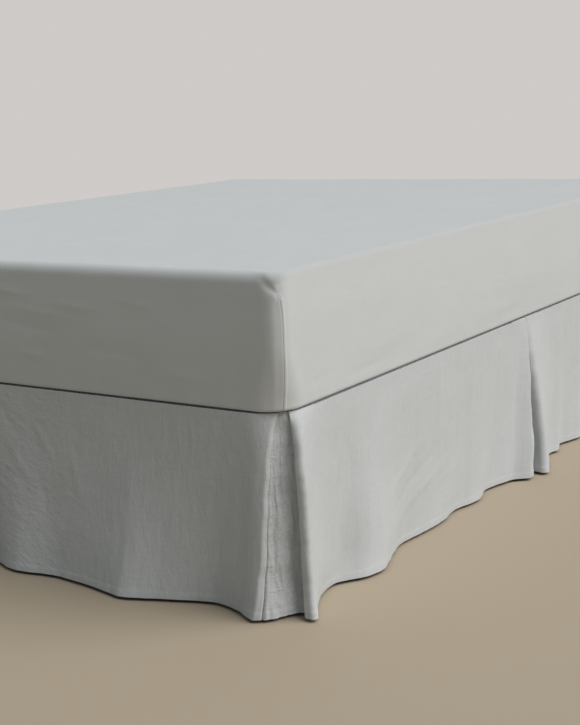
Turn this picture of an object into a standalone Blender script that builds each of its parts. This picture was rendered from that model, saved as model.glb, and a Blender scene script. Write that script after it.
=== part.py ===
"""A tailored bed skirt on a queen-size bed, with inverted pleats at the foot corners, at the middle of the
foot and at the middle of each side. The skirt's deck, a flat sheet, lies between the base and the mattress,
and its drop hangs from the deck's rim.

Metres, +Z up. The foot of the bed faces -Y and the head +Y. The bed is built about its own middle and
then moved as a whole, so that the origin is on the floor under the middle of the whole footprint.
"""

import math
from collections import namedtuple

import bmesh
import bpy
from mathutils import Vector

# Driving sizes
MATTRESS_WIDTH = 1.524
MATTRESS_LENGTH = 2.032
MATTRESS_THICKNESS = 0.238
MATTRESS_CORNER = 0.083
MATTRESS_UPPER_CORNER = 0.034
MATTRESS_LEAST_CORNER = 0.011
MATTRESS_TOP_RIM = 0.022
MATTRESS_BOTTOM_RIM = 0.010
MATTRESS_BULGE = 0.004
MATTRESS_CROWN = 0.004
MATTRESS_CROWN_INSETS = (0.08, 0.18, 0.32, 0.50)
MATTRESS_WALL_SHARES = (0.12, 0.28, 0.50, 0.76)
MATTRESS_CORNER_STEPS = 8
MATTRESS_RIM_STEPS = 4
CORNER_TIGHTENS = 0.095
DROP_HEIGHT = 0.354
HEM_ABOVE_FLOOR = 0.006
CLOTH = 0.0016
SEAM_GAP = 0.0003

# Heights that follow from them
DROP_TOP = HEM_ABOVE_FLOOR + DROP_HEIGHT
DECK_BOTTOM = DROP_TOP + SEAM_GAP
DECK_TOP = DECK_BOTTOM + CLOTH
MATTRESS_BOTTOM = DECK_TOP + SEAM_GAP

# The drop hangs just inside the mattress's face, and the base stands clear behind its three layers
DROP_INSET = 0.003
DROP_CORNER = MATTRESS_CORNER - DROP_INSET
HALF_WIDTH = MATTRESS_WIDTH / 2 - DROP_INSET
HALF_LENGTH = MATTRESS_LENGTH / 2 - DROP_INSET

BASE_INSET = 0.024
BASE_CORNER = 0.066
BASE_HEIGHT = 0.205
BASE_EDGE = 0.006
BASE_BOTTOM = DROP_TOP - BASE_HEIGHT

LEG_INSET = 0.115
LEG_TOP_RADIUS = 0.030
LEG_FOOT_RADIUS = 0.024
LEG_SEGMENTS = 20

# Pleats: each front panel folds back behind itself, and a backing is sewn across from fold to fold
RETURN_LENGTH = 0.068
LAYER_GAP_TOP = 0.0036
LAYER_GAP_HEM = 0.0115
SEAM_TAPER = 0.016
FOLD_STEPS = 5
PLEAT_GAP_TOP = 0.0012
OPENING_POWERS = {"corner": 0.55, "middle": 1.7, "head": 1.0}
WAVE_POWER = 1.3

BACKING_CURVE_REACH = 0.42
SHARPEST_BEND = 0.5

COLUMN_PITCH = 0.027
RETURN_COLUMNS = 4
BACKING_MIDDLE_COLUMNS = 8
ROW_HEIGHTS = (0.0, 0.02, 0.07, 0.19, 0.40, 0.68, 1.0)

# How far the hem stands out from the drop's own plane, a row for each crest and trough.
# along is measured from the foot corner on a side, and from the near corner on the foot.
Wave = namedtuple("Wave", "along out")
NEAR_FOOT_WAVES = (
    Wave(0.042, 0.047),
    Wave(0.145, 0.004),
    Wave(0.330, 0.062),
    Wave(0.525, 0.036),
    Wave(0.600, 0.049),
    Wave(0.685, 0.018),
    Wave(0.727, 0.040),
)
FAR_FOOT_WAVES = (
    Wave(0.040, 0.044),
    Wave(0.150, 0.008),
    Wave(0.260, 0.040),
    Wave(0.395, 0.012),
    Wave(0.540, 0.048),
    Wave(0.660, 0.020),
    Wave(0.727, 0.042),
)
NEAR_SIDE_FOOT_WAVES = (
    Wave(0.016, 0.040),
    Wave(0.172, -0.014),
    Wave(0.272, 0.030),
    Wave(0.420, -0.006),
    Wave(0.585, 0.006),
    Wave(0.662, -0.004),
    Wave(0.738, 0.011),
    Wave(0.818, -0.005),
    Wave(0.950, 0.045),
)
NEAR_SIDE_HEAD_WAVES = (
    Wave(1.022, 0.052),
    Wave(1.128, 0.006),
    Wave(1.170, 0.012),
    Wave(1.245, -0.004),
    Wave(1.325, 0.010),
    Wave(1.440, -0.003),
    Wave(1.580, 0.024),
    Wave(1.740, 0.002),
    Wave(1.870, 0.016),
    Wave(1.990, 0.004),
)
FAR_SIDE_FOOT_WAVES = (
    Wave(0.020, 0.042),
    Wave(0.150, 0.002),
    Wave(0.300, 0.034),
    Wave(0.465, -0.004),
    Wave(0.610, 0.022),
    Wave(0.790, 0.000),
    Wave(0.978, 0.046),
)
FAR_SIDE_HEAD_WAVES = (
    Wave(1.052, 0.048),
    Wave(1.190, 0.004),
    Wave(1.330, 0.026),
    Wave(1.500, -0.003),
    Wave(1.660, 0.018),
    Wave(1.830, 0.000),
    Wave(1.990, 0.010),
)

SHARP_ANGLE = math.radians(40)
LINEN = (0.52, 0.545, 0.54, 1.0)
SHEETING = (0.56, 0.585, 0.58, 1.0)
TICKING = (0.60, 0.59, 0.56, 1.0)
BEECH = (0.42, 0.28, 0.16, 1.0)


def clear_scene():
    for obj in list(bpy.data.objects):
        bpy.data.objects.remove(obj)


def material(name, colour, roughness):
    made = bpy.data.materials.new(name)
    made.use_nodes = True
    shader = made.node_tree.nodes["Principled BSDF"]
    shader.inputs["Base Color"].default_value = colour
    shader.inputs["Roughness"].default_value = roughness
    shader.inputs["Metallic"].default_value = 0.0
    return made


def add_object(name, bm, finish, bed):
    mesh = bpy.data.meshes.new(name)
    bm.to_mesh(mesh)
    bm.free()
    mesh.materials.append(finish)
    mesh.shade_smooth()
    mesh.set_sharp_from_angle(angle=SHARP_ANGLE)
    obj = bpy.data.objects.new(name, mesh)
    bpy.context.scene.collection.objects.link(obj)
    obj.parent = bed
    return obj


def rounded_block(width, length, height, corner, segments):
    """A block that stands on z = 0, with its four upright edges rounded."""
    bm = bmesh.new()
    bmesh.ops.create_cube(bm, size=1.0)
    bmesh.ops.scale(bm, vec=(width, length, height), verts=bm.verts)
    bmesh.ops.translate(bm, vec=(0, 0, height / 2), verts=bm.verts)
    upright = [e for e in bm.edges if abs(e.verts[0].co.z - e.verts[1].co.z) > height / 2]
    bmesh.ops.bevel(bm, geom=upright, offset=corner, segments=segments, profile=0.5, affect="EDGES")
    return bm


def round_rim(bm, z, radius, segments):
    """Rounds the edges of the flat face at height z."""
    rim = [e for e in bm.edges if all(abs(v.co.z - z) < 1e-6 for v in e.verts) and len(e.link_faces) == 2]
    bmesh.ops.bevel(bm, geom=rim, offset=radius, segments=segments, profile=0.5, affect="EDGES")


def smooth_step(t):
    t = min(1.0, max(0.0, t))
    return t * t * (3 - 2 * t)


def rounded_ring(half_width, half_length, corner, z):
    """Points round a rounded rectangle at height z, the same number for each corner."""
    ring = []
    for quarter, (x, y) in enumerate(((1, 1), (-1, 1), (-1, -1), (1, -1))):
        for step in range(MATTRESS_CORNER_STEPS + 1):
            angle = math.pi / 2 * (quarter + step / MATTRESS_CORNER_STEPS)
            across = x * (half_width - corner) + corner * math.cos(angle)
            lengthwise = y * (half_length - corner) + corner * math.sin(angle)
            ring.append((across, lengthwise, z))
    return ring


def extrude_onto(bm, faces, place, points):
    """Extrudes faces, puts each new vertex on the point that its place numbers, and gives the new faces."""
    region = faces + list(dict.fromkeys(edge for face in faces for edge in face.edges))
    made = bmesh.ops.extrude_face_region(bm, geom=region)["geom"]
    for item in made:
        if isinstance(item, bmesh.types.BMVert):
            item.co = points[item[place]]
    return [item for item in made if isinstance(item, bmesh.types.BMFace)]


def mattress_profile():
    """Inset from the widest line and height above the underside, from the underside to the crown."""
    wall_top, wall_bottom = MATTRESS_THICKNESS - MATTRESS_TOP_RIM, MATTRESS_BOTTOM_RIM
    rows = []
    for step in range(MATTRESS_RIM_STEPS + 1):
        angle = math.pi / 2 * step / MATTRESS_RIM_STEPS
        inset = MATTRESS_BULGE + MATTRESS_BOTTOM_RIM * (1 - math.sin(angle))
        rows.append((inset, MATTRESS_BOTTOM_RIM * (1 - math.cos(angle))))
    for share in MATTRESS_WALL_SHARES:
        inset = MATTRESS_BULGE * (1 - math.sin(math.pi * share))
        rows.append((inset, wall_bottom + (wall_top - wall_bottom) * share))
    for step in range(MATTRESS_RIM_STEPS + 1):
        angle = math.pi / 2 * step / MATTRESS_RIM_STEPS
        inset = MATTRESS_BULGE + MATTRESS_TOP_RIM * (1 - math.cos(angle))
        rows.append((inset, wall_top + MATTRESS_TOP_RIM * math.sin(angle)))
    for inset in MATTRESS_CROWN_INSETS:
        share = (inset - MATTRESS_TOP_RIM) / (MATTRESS_CROWN_INSETS[-1] - MATTRESS_TOP_RIM)
        rows.append((inset, MATTRESS_THICKNESS + MATTRESS_CROWN * math.sin(math.pi / 2 * share)))
    return rows


def make_mattress(finish, bed):
    """The mattress in its fitted sheet: crowned top, sides a little full, rims rounded.

    Its corners are round at the underside, where the sheet's elastic draws them in, and tighter above.
    """
    rings = []
    for inset, height in mattress_profile():
        low, high = MATTRESS_CORNER - inset, max(MATTRESS_UPPER_CORNER - inset, MATTRESS_LEAST_CORNER)
        corner = low + (high - low) * smooth_step(height / CORNER_TIGHTENS)
        half_width, half_length = MATTRESS_WIDTH / 2 - inset, MATTRESS_LENGTH / 2 - inset
        rings.append(rounded_ring(half_width, half_length, corner, MATTRESS_BOTTOM + height))
    bm = bmesh.new()
    place = bm.verts.layers.int.new("place")
    underside = [bm.verts.new(point) for point in rings[0]]
    for index, vert in enumerate(underside):
        vert[place] = index
    top = [bm.faces.new(underside)]
    for ring in rings[1:]:
        top = extrude_onto(bm, top, place, ring)
    bmesh.ops.recalc_face_normals(bm, faces=bm.faces)
    return add_object("mattress", bm, finish, bed)


def make_base(finish, bed):
    width = 2 * (HALF_WIDTH - BASE_INSET)
    length = 2 * (HALF_LENGTH - BASE_INSET)
    bm = rounded_block(width, length, BASE_HEIGHT, BASE_CORNER, 6)
    round_rim(bm, BASE_HEIGHT, BASE_EDGE, 2)
    round_rim(bm, 0.0, BASE_EDGE, 2)
    bmesh.ops.translate(bm, vec=(0, 0, BASE_BOTTOM), verts=bm.verts)
    return add_object("base", bm, finish, bed)


def make_legs(finish, bed):
    leg_x = HALF_WIDTH - BASE_INSET - LEG_INSET
    leg_y = HALF_LENGTH - BASE_INSET - LEG_INSET
    height = BASE_BOTTOM - SEAM_GAP
    for side, x in (("left", -leg_x), ("right", leg_x)):
        for place, y in (("foot", -leg_y), ("middle", 0.0), ("head", leg_y)):
            bm = bmesh.new()
            bmesh.ops.create_cone(
                bm,
                cap_ends=True,
                segments=LEG_SEGMENTS,
                radius1=LEG_FOOT_RADIUS,
                radius2=LEG_TOP_RADIUS,
                depth=height,
            )
            bmesh.ops.translate(bm, vec=(x, y, height / 2), verts=bm.verts)
            add_object(f"leg_{side}_{place}", bm, finish, bed)


def make_deck(finish, bed):
    bm = rounded_block(2 * HALF_WIDTH, 2 * HALF_LENGTH, CLOTH, DROP_CORNER, 8)
    bmesh.ops.translate(bm, vec=(0, 0, DECK_BOTTOM), verts=bm.verts)
    return add_object("skirt_deck", bm, finish, bed)


class Face:
    """One side of the bed. along runs from one corner (0) to the next, and out is away from the bed."""

    def __init__(self, corner, run, outward, length):
        self.corner = Vector(corner)
        self.run = Vector(run)
        self.outward = Vector(outward)
        self.length = length

    def plan(self, along, out):
        return self.corner + self.run * along + self.outward * out


NEAR_FOOT = Face((HALF_WIDTH, -HALF_LENGTH), (-1, 0), (0, -1), 2 * HALF_WIDTH)
FAR_FOOT = Face((-HALF_WIDTH, -HALF_LENGTH), (1, 0), (0, -1), 2 * HALF_WIDTH)
NEAR_SIDE = Face((HALF_WIDTH, -HALF_LENGTH), (0, 1), (1, 0), 2 * HALF_LENGTH)
FAR_SIDE = Face((-HALF_WIDTH, -HALF_LENGTH), (0, 1), (-1, 0), 2 * HALF_LENGTH)


class Front:
    """A front panel of the drop, from its start end (share 0) to its finish end (share 1).

    An end is "corner" or "middle", where the cloth folds back into a pleat, or "head", a plain end.
    """

    def __init__(self, name, face, waves, start, finish):
        self.name, self.face, self.waves = name, face, waves
        self.ends = (start, finish)
        arc = DROP_CORNER * math.pi / 4
        middle = face.length / 2 - DROP_CORNER
        fold_room = (LAYER_GAP_TOP + CLOTH + PLEAT_GAP_TOP) / 2
        self.top_from = (-arc if start == "corner" else middle) + fold_room
        self.top_to = face.length - 2 * DROP_CORNER + arc if finish == "head" else middle - fold_room

    def top_point(self, share):
        """Along and out on the deck's rim: straight, with an eighth of a turn at a corner."""
        run = self.top_from + (self.top_to - self.top_from) * share
        straight = self.face.length - 2 * DROP_CORNER
        if run < 0:
            angle = -run / DROP_CORNER
            return DROP_CORNER * (1 - math.sin(angle)), -DROP_CORNER * (1 - math.cos(angle))
        if run > straight:
            angle = (run - straight) / DROP_CORNER
            along = self.face.length - DROP_CORNER * (1 - math.sin(angle))
            return along, -DROP_CORNER * (1 - math.cos(angle))
        return DROP_CORNER + run, 0.0

    def opening(self, share, drop):
        """How far the panel has left its place at the deck, from 0 there to 1 at the hem."""
        start, finish = (drop ** OPENING_POWERS[end] for end in self.ends)
        return start + (finish - start) * share

    def wave_out(self, along, drop):
        """The crests and troughs, which fade towards the deck."""
        rows = self.waves
        along = min(max(along, rows[0].along), rows[-1].along)
        for low, high in zip(rows, rows[1:]):
            if along <= high.along:
                break
        part = smooth_step((along - low.along) / (high.along - low.along))
        out = low.out + (high.out - low.out) * part
        at_corner = 0.0
        if self.ends[0] == "corner":
            at_corner = 1 - smooth_step((along - rows[0].along) / (rows[1].along - rows[0].along))
        power = WAVE_POWER + (OPENING_POWERS["corner"] - WAVE_POWER) * at_corner
        return out * drop**power

    def plan(self, share, drop):
        top_along, top_out = self.top_point(share)
        hem_from, hem_to = self.waves[0].along, self.waves[-1].along
        hem_along = hem_from + (hem_to - hem_from) * share
        if self.ends[1] == "head":
            hem_along += (top_along - hem_along) * smooth_step(share)
        opened = self.opening(share, drop)
        along = top_along + (hem_along - top_along) * opened
        stays = self.ends[1] == "head" and share > 0.5
        out = top_out if stays else top_out * (1 - opened)
        return self.face.plan(along, out + self.wave_out(hem_along, drop))

    def tangent(self, share, drop):
        step = 0.002  # a share of the panel, about 2 mm
        low, high = max(0.0, share - step), min(1.0, share + step)
        return (self.plan(high, drop) - self.plan(low, drop)).normalized()

    def normal(self, share, drop):
        """Across the cloth, away from the bed."""
        tangent = self.tangent(share, drop)
        across = Vector((tangent.y, -tangent.x))
        return across if across.dot(self.face.outward) > 0 else -across

    def layer(self, share, drop, depth):
        """A point of a layer that lies depth behind the front."""
        return self.plan(share, drop) - self.normal(share, drop) * depth

    def share_of(self, length):
        return length / (self.top_to - self.top_from)


def layer_gap(drop):
    return LAYER_GAP_TOP + (LAYER_GAP_HEM - LAYER_GAP_TOP) * drop


def seam_depth(distance_from_seam, depth, drop, side):
    """The return and the backing come together over the last stretch before their seam."""
    meeting = 1.5 * layer_gap(drop) + side * (CLOTH + SEAM_GAP) / 2
    return meeting + (depth - meeting) * smooth_step(distance_from_seam / SEAM_TAPER)


def folded_end(front, end, drop):
    """Return and fold at one end of a front panel, from the seam to the fold's brow."""
    gap = layer_gap(drop)
    base, inwards = (0.0, 1.0) if end == 0 else (1.0, -1.0)
    points = []
    for column in range(RETURN_COLUMNS + 1):
        left = column / RETURN_COLUMNS
        from_seam = RETURN_LENGTH * left
        share = base + inwards * front.share_of(RETURN_LENGTH * (1 - left))
        points.append(front.layer(share, drop, seam_depth(from_seam, gap, drop, -1)))
    brow = front.plan(base, drop)
    normal = front.normal(base, drop)
    away = front.tangent(base, drop) * -inwards
    middle = brow - normal * gap / 2
    for step in range(1, FOLD_STEPS):
        angle = math.pi * (1 - step / FOLD_STEPS)
        points.append(middle + (normal * math.cos(angle) + away * math.sin(angle)) * gap / 2)
    return points


def front_section(front, drop):
    """The panel in plan at one height, from end to end of its cloth.

    Its columns over a return are the return's own, so that the layers keep apart between them.
    """
    returned = front.share_of(RETURN_LENGTH)
    first = [returned * column / RETURN_COLUMNS for column in range(RETURN_COLUMNS)]
    last = [] if front.ends[1] == "head" else [1 - share for share in first[::-1]]
    low, high = returned, 1 - returned if last else 1.0
    columns = round((front.top_to - front.top_from) * (high - low) / COLUMN_PITCH)
    between = [low + (high - low) * column / columns for column in range(columns + 1)]
    section = folded_end(front, 0, drop)
    section += [front.plan(share, drop) for share in first + between + last]
    if last:
        section += folded_end(front, 1, drop)[::-1]
    return section


def curve_between(start, start_way, finish, finish_way, columns):
    """Points inside a smooth curve that leaves start along start_way and reaches finish along finish_way."""
    reach = (finish - start).length * BACKING_CURVE_REACH
    first, second = start + start_way * reach, finish - finish_way * reach
    points = []
    for column in range(1, columns):
        t = column / columns
        ends = start * (1 - t) ** 3 + finish * t**3
        points.append(ends + (first * (1 - t) + second * t) * 3 * t * (1 - t))
    return points


def backing_section(first, first_end, second, second_end, drop):
    """The backing in plan: behind one panel's return, across the opening, behind the other's return."""
    depth = 2 * layer_gap(drop)
    halves = []
    for front, end in ((first, first_end), (second, second_end)):
        base, inwards = (0.0, 1.0) if end == 0 else (1.0, -1.0)
        half = []
        for column in range(RETURN_COLUMNS + 1):
            left = column / RETURN_COLUMNS
            share = base + inwards * front.share_of(RETURN_LENGTH * (1 - left))
            half.append(front.layer(share, drop, seam_depth(RETURN_LENGTH * left, depth, drop, 1)))
        halves.append((half, front.tangent(base, drop) * -inwards))
    (left_half, left_way), (right_half, right_way) = halves
    middle = curve_between(left_half[-1], left_way, right_half[-1], -right_way, BACKING_MIDDLE_COLUMNS)
    return left_half + middle + right_half[::-1]


def plan_normals(section):
    """Across the cloth at each point of its plan section, lengthened at bends to keep the thickness."""
    ways = [(high - low).normalized() for low, high in zip(section, section[1:])]
    normals = []
    for before, after in zip([ways[0]] + ways, ways + [ways[-1]]):
        along = (before + after).normalized()
        normals.append(Vector((along.y, -along.x)) / max(SHARPEST_BEND, along.dot(before)))
    return normals


def make_cloth(name, section, finish, bed):
    """A closed sheet, drawn between its plan sections at ROW_HEIGHTS, from the deck to the hem."""
    outer, inner = [], []
    for drop in ROW_HEIGHTS:
        middle = section(drop)
        z = DROP_TOP - DROP_HEIGHT * drop
        for point, normal in zip(middle, plan_normals(middle)):
            half = normal * CLOTH / 2
            outer.append((point + half).to_3d() + Vector((0, 0, z)))
            inner.append((point - half).to_3d() + Vector((0, 0, z)))
    columns = len(outer) // len(ROW_HEIGHTS)
    bm = bmesh.new()
    place = bm.verts.layers.int.new("place")
    bmesh.ops.create_grid(bm, x_segments=columns - 1, y_segments=len(ROW_HEIGHTS) - 1, size=1.0)
    for index, vert in enumerate(bm.verts):
        vert[place] = index
        vert.co = outer[index]
    extrude_onto(bm, bm.faces[:], place, inner)
    bmesh.ops.recalc_face_normals(bm, faces=bm.faces)
    return add_object(name, bm, finish, bed)


def make_drop(finish, bed):
    near_foot = Front("front_foot_near", NEAR_FOOT, NEAR_FOOT_WAVES, "corner", "middle")
    far_foot = Front("front_foot_far", FAR_FOOT, FAR_FOOT_WAVES, "corner", "middle")
    near_side = Front("front_side_near_foot", NEAR_SIDE, NEAR_SIDE_FOOT_WAVES, "corner", "middle")
    near_head = Front("front_side_near_head", NEAR_SIDE, NEAR_SIDE_HEAD_WAVES, "middle", "head")
    far_side = Front("front_side_far_foot", FAR_SIDE, FAR_SIDE_FOOT_WAVES, "corner", "middle")
    far_head = Front("front_side_far_head", FAR_SIDE, FAR_SIDE_HEAD_WAVES, "middle", "head")
    for front in (near_foot, far_foot, near_side, near_head, far_side, far_head):
        make_cloth(front.name, lambda drop, f=front: front_section(f, drop), finish, bed)
    pleats = (
        ("backing_corner_near", near_foot, 0, near_side, 0),
        ("backing_corner_far", far_foot, 0, far_side, 0),
        ("backing_middle_foot", far_foot, 1, near_foot, 1),
        ("backing_middle_near", near_side, 1, near_head, 0),
        ("backing_middle_far", far_side, 1, far_head, 0),
    )
    for name, first, first_end, second, second_end in pleats:
        make_cloth(
            name,
            lambda drop, p=(first, first_end, second, second_end): backing_section(*p, drop),
            finish,
            bed,
        )


def centre_footprint(bed):
    """Moves the whole bed so that the middle of its footprint is over the origin."""
    bpy.context.view_layer.update()
    graph = bpy.context.evaluated_depsgraph_get()
    points = []
    for obj in bed.children:
        shown = obj.evaluated_get(graph)
        points += [shown.matrix_world @ Vector(corner) for corner in shown.bound_box]
    low = Vector([min(p[axis] for p in points) for axis in range(2)])
    high = Vector([max(p[axis] for p in points) for axis in range(2)])
    middle = (low + high) / 2
    bed.location = (-middle.x, -middle.y, 0)


def main():
    clear_scene()
    linen = material("linen", LINEN, 0.9)
    sheeting = material("sheeting", SHEETING, 0.85)
    ticking = material("ticking", TICKING, 0.9)
    beech = material("beech", BEECH, 0.5)
    bed = bpy.data.objects.new("bed", None)
    bpy.context.scene.collection.objects.link(bed)
    make_base(ticking, bed)
    make_legs(beech, bed)
    make_deck(linen, bed)
    make_drop(linen, bed)
    make_mattress(sheeting, bed)
    centre_footprint(bed)


main()
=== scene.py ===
import math
from bisect import bisect

import bmesh
import bpy
from mathutils import Matrix, Vector, noise


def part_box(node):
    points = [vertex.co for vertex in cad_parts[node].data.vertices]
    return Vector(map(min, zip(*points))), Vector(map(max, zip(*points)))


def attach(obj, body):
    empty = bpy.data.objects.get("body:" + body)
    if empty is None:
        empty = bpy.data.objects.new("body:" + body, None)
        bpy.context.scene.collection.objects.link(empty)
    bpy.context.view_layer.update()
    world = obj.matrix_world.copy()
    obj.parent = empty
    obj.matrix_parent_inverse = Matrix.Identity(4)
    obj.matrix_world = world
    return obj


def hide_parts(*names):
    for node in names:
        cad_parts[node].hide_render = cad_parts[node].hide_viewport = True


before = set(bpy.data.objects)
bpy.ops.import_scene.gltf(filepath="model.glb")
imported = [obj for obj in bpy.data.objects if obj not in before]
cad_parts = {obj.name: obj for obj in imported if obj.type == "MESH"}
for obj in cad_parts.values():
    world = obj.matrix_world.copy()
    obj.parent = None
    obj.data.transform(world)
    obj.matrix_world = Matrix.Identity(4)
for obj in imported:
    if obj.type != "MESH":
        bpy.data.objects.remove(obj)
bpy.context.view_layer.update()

# Everything is worked out about the middle of the bed and then moved to where the frame has it.
mattressLow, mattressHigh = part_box("mattress")
bedMiddle = Vector(((mattressLow.x + mattressHigh.x) / 2, (mattressLow.y + mattressHigh.y) / 2, 0))


def smoothStep(t):
    t = min(1.0, max(0.0, t))
    return t * t * (3 - 2 * t)


def addObject(name, data):
    made = bpy.data.objects.new(name, data)
    bpy.context.scene.collection.objects.link(made)
    return made


def fadeIn(at, band):
    # from 0 to 1 over a band that is given by its start and its width
    return smoothStep((at - band[0]) / band[1])


# Camera and light

cameraShot = {
    "place": (1.9285, -2.7225, 0.883),
    "turn": 33.54,  # degrees, from the foot of the bed towards the near side
    "down": 11.617,
    "roll": 2.499,
    "lens": 64.65,
    "sensor": 36,
    "clip": (0.05, 200),
}

studio = {
    "keyFrom": (0.675, 0.19, 0.79),
    "keyStrength": 3.2,
    "keySoftness": 56,  # degrees across
    "keyColour": (1.0, 0.966, 0.95),
    "fill": (0.204, 0.226, 0.24),
    "backdrop": (0.62, 0.595, 0.575),
}


def setCamera():
    shot = cameraShot
    camera = addObject("camera", bpy.data.cameras.new("camera"))
    camera.data.lens = shot["lens"]
    camera.data.sensor_width = shot["sensor"]
    camera.data.clip_start, camera.data.clip_end = shot["clip"]
    turn = Matrix.Rotation(math.radians(shot["turn"]), 3, "Z")
    down = Matrix.Rotation(math.radians(90 - shot["down"]), 3, "X")
    roll = Matrix.Rotation(math.radians(-shot["roll"]), 3, "Z")
    camera.rotation_euler = (turn @ down @ roll).to_euler()
    camera.location = shot["place"]
    bpy.context.scene.camera = camera


def setLight():
    key = addObject("key", bpy.data.lights.new("key", "SUN"))
    key.data.energy = studio["keyStrength"]
    key.data.angle = math.radians(studio["keySoftness"])
    key.data.color = studio["keyColour"]
    key.rotation_euler = Vector(studio["keyFrom"]).to_track_quat("Z", "Y").to_euler()
    world = bpy.data.worlds.new("studio")
    bpy.context.scene.world = world
    world.use_nodes = True
    tree = world.node_tree
    fill = tree.nodes["Background"]
    fill.inputs["Color"].default_value = (*studio["fill"], 1)
    seen = tree.nodes.new("ShaderNodeBackground")
    seen.inputs["Color"].default_value = (*studio["backdrop"], 1)
    path, mix = tree.nodes.new("ShaderNodeLightPath"), tree.nodes.new("ShaderNodeMixShader")
    tree.links.new(path.outputs["Is Camera Ray"], mix.inputs[0])
    tree.links.new(fill.outputs[0], mix.inputs[1])
    tree.links.new(seen.outputs[0], mix.inputs[2])
    tree.links.new(mix.outputs[0], tree.nodes["World Output"].inputs[0])
    bpy.context.scene.view_settings.view_transform = "Standard"


setCamera()
setLight()
print("camera and light set")


# Materials


class Wire:
    # a socket's output, on which + - * add maths nodes
    def __init__(self, finish, socket):
        self.finish, self.socket = finish, socket

    def __add__(self, other):
        return self.finish.maths("ADD", self, other)

    def __sub__(self, other):
        return self.finish.maths("SUBTRACT", self, other)

    def __rsub__(self, other):
        return self.finish.maths("SUBTRACT", other, self)

    def __mul__(self, other):
        return self.finish.maths("MULTIPLY", self, other)

    def __abs__(self):
        return self.finish.maths("ABSOLUTE", self)

    __radd__, __rmul__ = __add__, __mul__


class Finish:
    def __init__(self, name, roughness, sheen=0.0):
        self.material = bpy.data.materials.new(name)
        self.material.use_nodes = True
        self.tree = self.material.node_tree
        self.shader = self.tree.nodes["Principled BSDF"]
        self.shader.inputs["Roughness"].default_value = roughness
        self.shader.inputs["Sheen Weight"].default_value = sheen
        self.shader.inputs["Specular IOR Level"].default_value = 0.3

    def node(self, kind, settings=None, sockets=None, output=0):
        made = self.tree.nodes.new(kind)
        for name, value in (settings or {}).items():
            setattr(made, name, value)
        for name, value in (sockets or {}).items():
            if isinstance(value, Wire):
                self.tree.links.new(value.socket, made.inputs[name])
            else:
                made.inputs[name].default_value = value
        return Wire(self, made.outputs[output])

    def maths(self, operation, first, second=0.0):
        return self.node("ShaderNodeMath", {"operation": operation}, {0: first, 1: second})

    def split(self, vector):
        parts = self.node("ShaderNodeSeparateXYZ", None, {0: vector}).socket.node
        return [Wire(self, output) for output in parts.outputs]

    def objectPlace(self):
        return self.node("ShaderNodeTexCoord", None, None, "Object")

    def grain(self, place, scale=1.0, detail=2.0):
        # from about -0.5 to 0.5; place is a vector, or its x, y and z
        if isinstance(place, tuple):
            place = self.node("ShaderNodeCombineXYZ", None, dict(enumerate(place)))
        settings, sockets = {"noise_dimensions": "3D"}, {"Vector": place, "Scale": scale, "Detail": detail}
        return self.node("ShaderNodeTexNoise", settings, sockets) - 0.5

    def within(self, value, near, far):
        # 1 up to near, and 0 from far on
        settings = {"interpolation_type": "SMOOTHSTEP"}
        sockets = {"Value": value, "From Min": near, "From Max": far, "To Min": 1.0, "To Max": 0.0}
        return self.node("ShaderNodeMapRange", settings, sockets)

    def attribute(self, name):
        return self.node("ShaderNodeAttribute", {"attribute_name": name}, None, "Fac")

    def dress(self, look, patterns, roughness=None):
        # the colour goes from the look's deep one at tone 0 to its pale one at 1
        tone, height = look["tone"], 0.0
        for name, pattern in patterns.items():
            shade, rise = look[name]
            if shade:
                tone = tone + pattern * shade
            if rise:
                height = height + pattern * rise
        sockets = {0: tone, 6: (*look["deep"], 1), 7: (*look["pale"], 1)}
        colour = self.node("ShaderNodeMix", {"data_type": "RGBA"}, sockets, 2)
        self.tree.links.new(colour.socket, self.shader.inputs["Base Color"])
        if roughness:
            self.tree.links.new(roughness.socket, self.shader.inputs["Roughness"])
        if isinstance(height, Wire):
            bump = self.node("ShaderNodeBump", None, {"Strength": 1.0, "Distance": 1.0, "Height": height})
            self.tree.links.new(bump.socket, self.shader.inputs["Normal"])
        return self.material


# In each look, a pair says how much a pattern adds to the tone, and how high it stands in metres.
linenLook = {
    "pale": (0.565, 0.592, 0.598),
    "deep": (0.44, 0.463, 0.47),
    "tone": 0.5,
    "thread": 0.0011,
    "stitchLength": 0.002,
    "stitchUp": 0.0102,  # above the hem
    "foldedWay": (0.36, 0.93),  # across and up, where the cloth was folded aslant
    "weave": (0.1, 0.00005),
    "warpSlubs": (0.5, 0.00015),
    "weftSlubs": (0.45, 0.00015),
    "warpStreaks": (0.36, 0.0002),
    "weftStreaks": (0.34, 0.0001),
    "mottle": (0.3, 0),
    "crumple": (0, 0.0009),
    "finer": (0, 0.0003),
    # crease lines are sunk, and their tone painted a little darker as the shade in them
    "creases": (-0.05, -0.00014),
    "stitches": (0.25, 0.0002),
    "stitchLine": (-0.12, -0.0003),
}


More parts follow.
